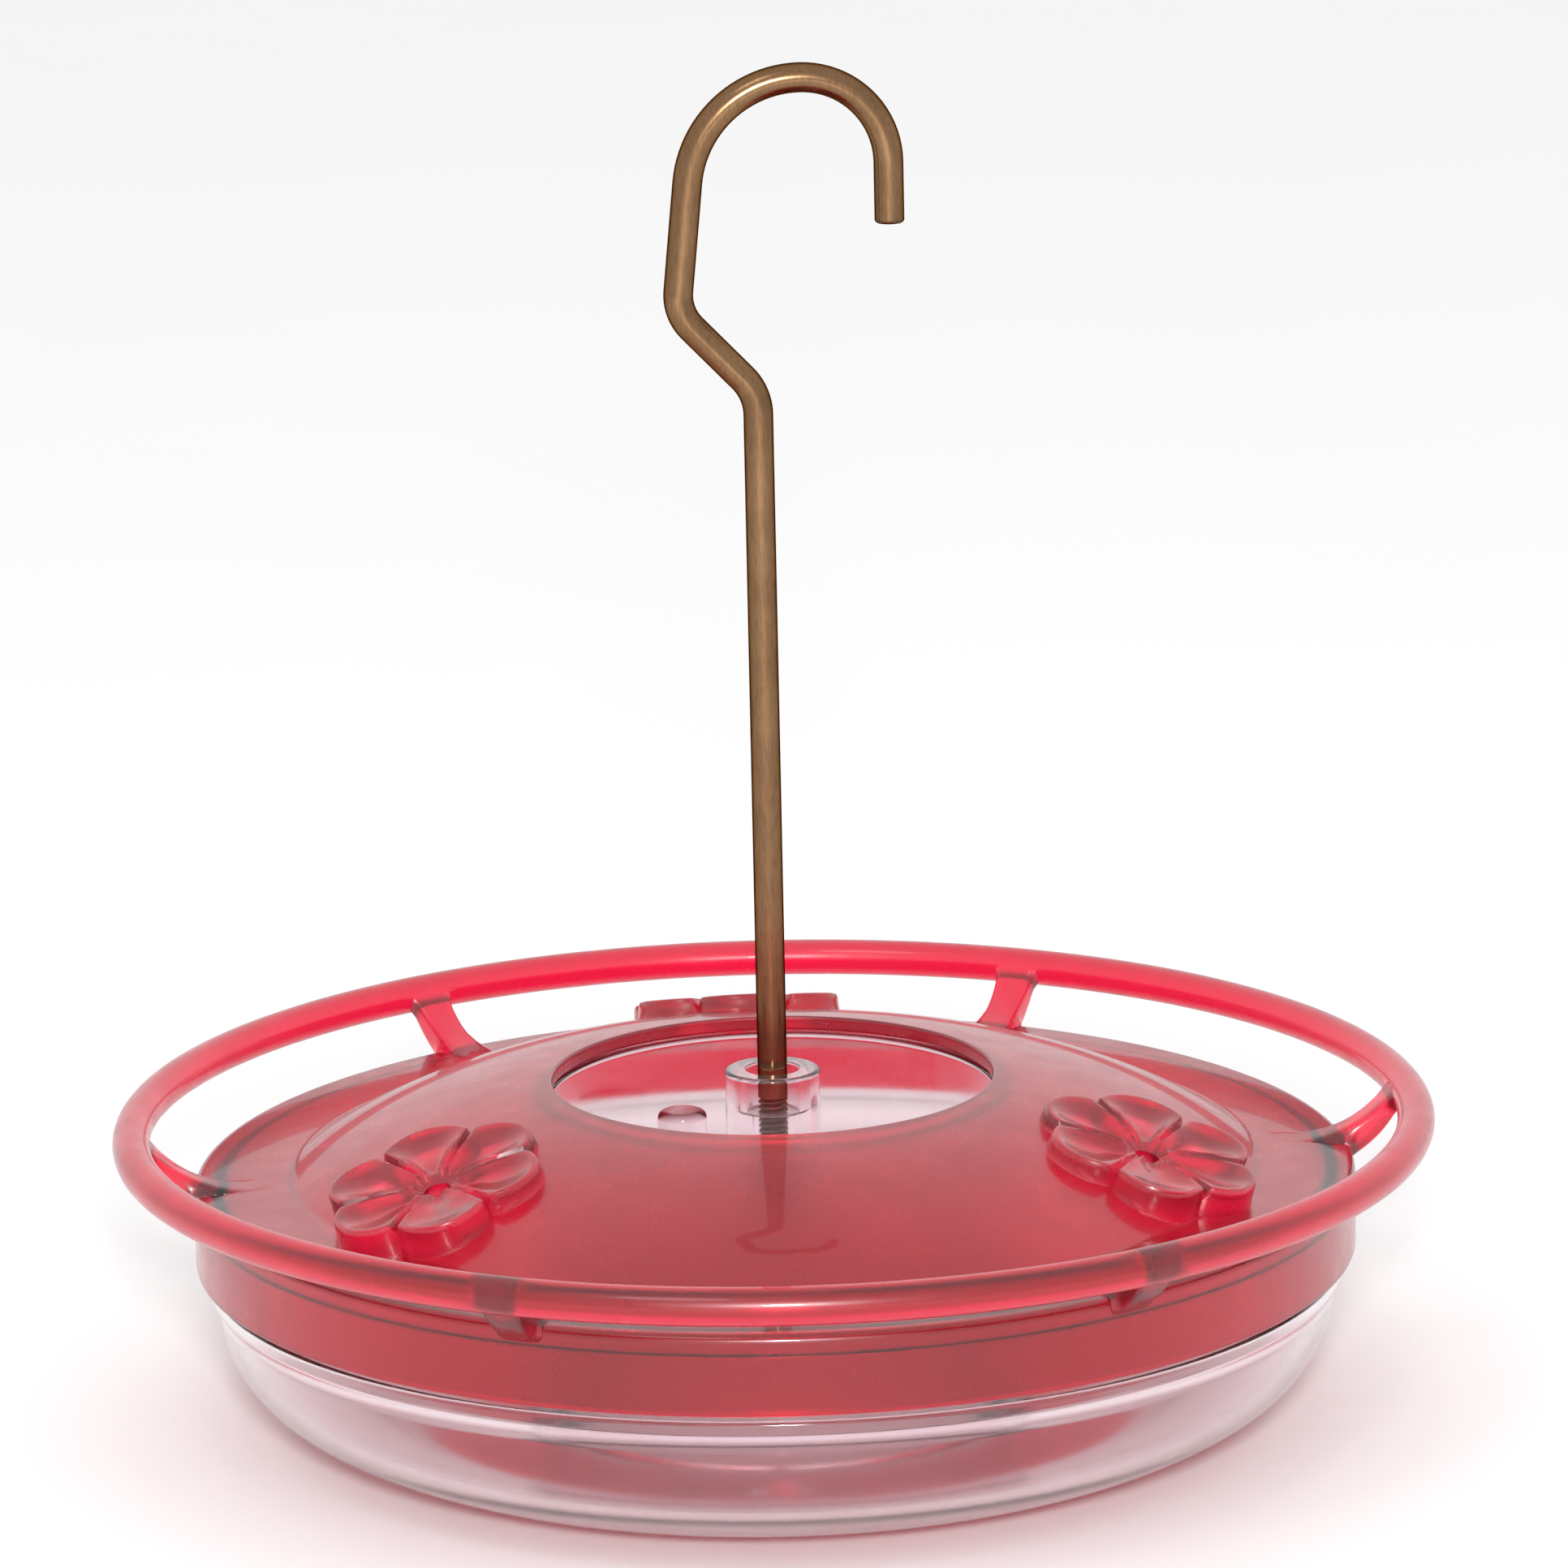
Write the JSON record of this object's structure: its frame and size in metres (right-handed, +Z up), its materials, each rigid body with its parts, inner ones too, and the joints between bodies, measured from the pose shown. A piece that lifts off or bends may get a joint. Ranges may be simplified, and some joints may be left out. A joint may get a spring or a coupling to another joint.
{
  "type": "hummingbird feeder",
  "caption": "Hanging dish feeder: a clear bowl with an ant moat, a red lift-off cover with flower ports and a perch ring, and a brass hanging rod.",
  "frame": {"origin": "on the axis of the bowl, on the surface that the flat base stands on", "axes": "+Z up along the rod, the hook lies in the XZ plane with its tip towards +X, one flower port faces +Y"},
  "size_m": [0.184, 0.184, 0.1912],
  "materials": {
    "clear_plastic": "polished, clear",
    "red_plastic": "polished, translucent",
    "brass": "drawn, lightly aged"
  },
  "bodies": {
    "bowl_body": {"bowl": "clear_plastic", "hanging_rod": "brass"},
    "cover_body": {"cover": "red_plastic"}
  },
  "joints": [
    {"name": "cover_lift", "type": "slide", "parent": "bowl_body", "child": "cover_body", "axis": [0, 0, 1], "range_m": [0, 0.18]}
  ]
}
